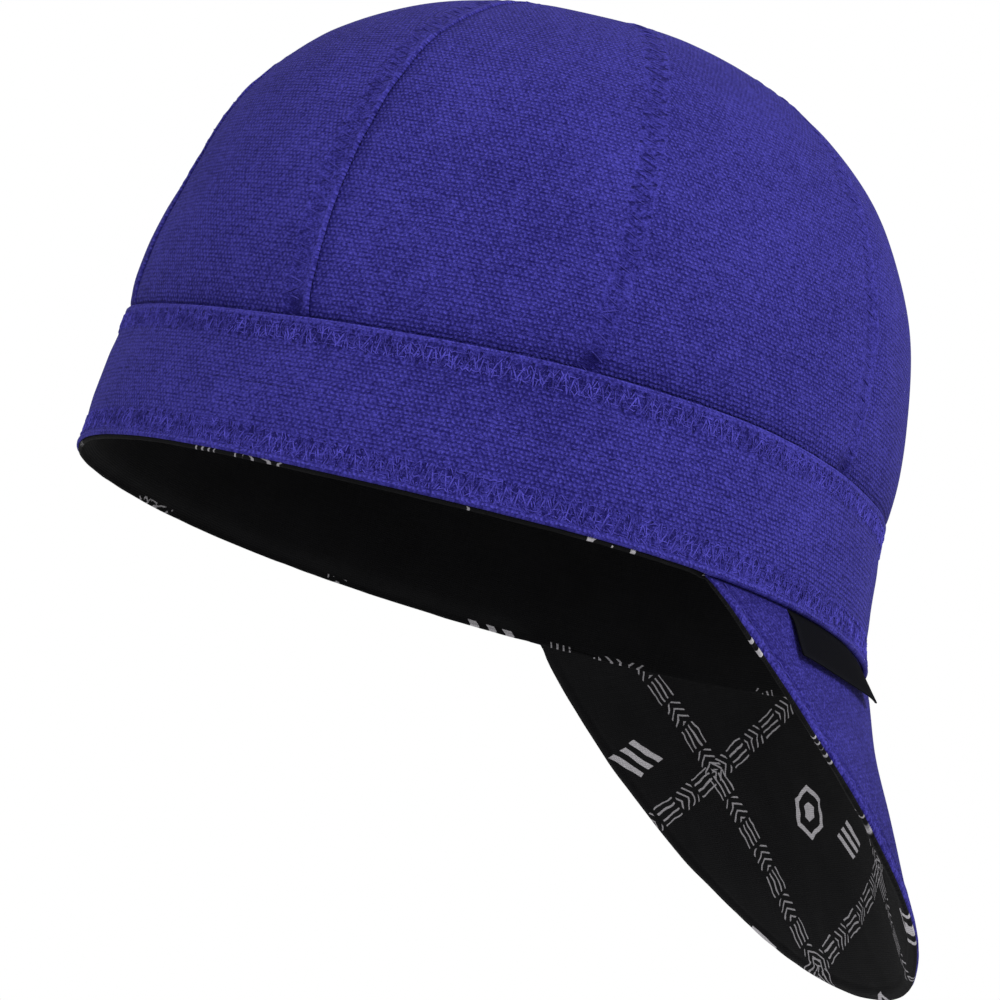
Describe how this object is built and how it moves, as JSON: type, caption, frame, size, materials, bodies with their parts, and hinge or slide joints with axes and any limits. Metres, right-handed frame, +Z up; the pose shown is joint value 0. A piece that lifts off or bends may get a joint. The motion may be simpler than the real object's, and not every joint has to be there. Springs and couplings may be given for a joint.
{
  "type": "welding cap",
  "caption": "Soft canvas work cap with a sewn dome crown of gores, a plain band round the head, a hanging cloth peak at the front, a dark lining and a small bare side tab.",
  "frame": {"origin": "middle of the rim, in the plane where the head goes in", "axes": "+Z up out of the crown, +Y to the front where the peak hangs, +X to the side that carries the tab"},
  "size_m": [0.171, 0.2329, 0.2086],
  "materials": {
    "purple_canvas": "matte plain-weave cotton canvas",
    "black_lining": "matte cotton lining with a thin pale print",
    "black_tab": "smooth woven tape, left bare"
  },
  "bodies": {
    "root": {"band": "purple_canvas", "gore_1": "purple_canvas", "gore_2": "purple_canvas", "gore_3": "purple_canvas", "gore_4": "purple_canvas", "gore_5": "purple_canvas", "gore_6": "purple_canvas", "gore_7": "purple_canvas", "gore_8": "purple_canvas", "cap_lining": "black_lining", "peak_cover": "purple_canvas", "peak_lining": "black_lining", "side_tab": "black_tab"}
  },
  "joints": []
}
